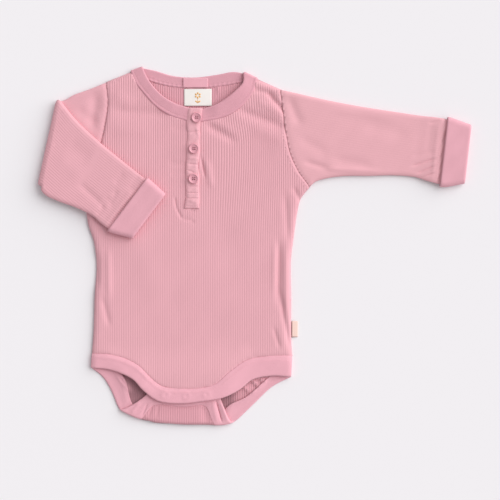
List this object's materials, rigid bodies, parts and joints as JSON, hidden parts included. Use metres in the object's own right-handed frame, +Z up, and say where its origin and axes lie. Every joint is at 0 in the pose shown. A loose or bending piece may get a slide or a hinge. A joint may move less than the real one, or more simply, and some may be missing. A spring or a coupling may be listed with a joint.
{
  "type": "baby bodysuit",
  "caption": "Long-sleeved baby bodysuit in rib knit with a buttoned neck opening, laid flat on its back with one sleeve folded over.",
  "frame": {"origin": "the middle of the body's underside, on the surface that the garment lies on", "axes": "+Z up out of the front, +Y towards the neck, +X towards the wearer's left arm, which lies straight out"},
  "size_m": [0.4742, 0.3945, 0.0146],
  "materials": {
    "rib_knit": "fine vertical rib, matt",
    "plain_knit": "smooth jersey, matt",
    "label_satin": "woven satin",
    "tag_tape": "soft woven tape",
    "button_plastic": "satin",
    "snap_plastic": "satin"
  },
  "bodies": {
    "root": {"back_panel": "rib_knit", "front_panel": "rib_knit", "sleeve_left": "rib_knit", "sleeve_right": "rib_knit", "cuff_left": "plain_knit", "cuff_right": "plain_knit", "neck_band": "plain_knit", "leg_band_front": "plain_knit", "leg_band_back": "plain_knit", "placket_under": "plain_knit", "placket_top": "plain_knit", "neck_tape": "plain_knit", "neck_label": "label_satin", "side_tag": "tag_tape", "button_1": "button_plastic", "button_2": "button_plastic", "button_3": "button_plastic", "snap_1": "snap_plastic", "snap_2": "snap_plastic", "snap_3": "snap_plastic"}
  },
  "joints": []
}
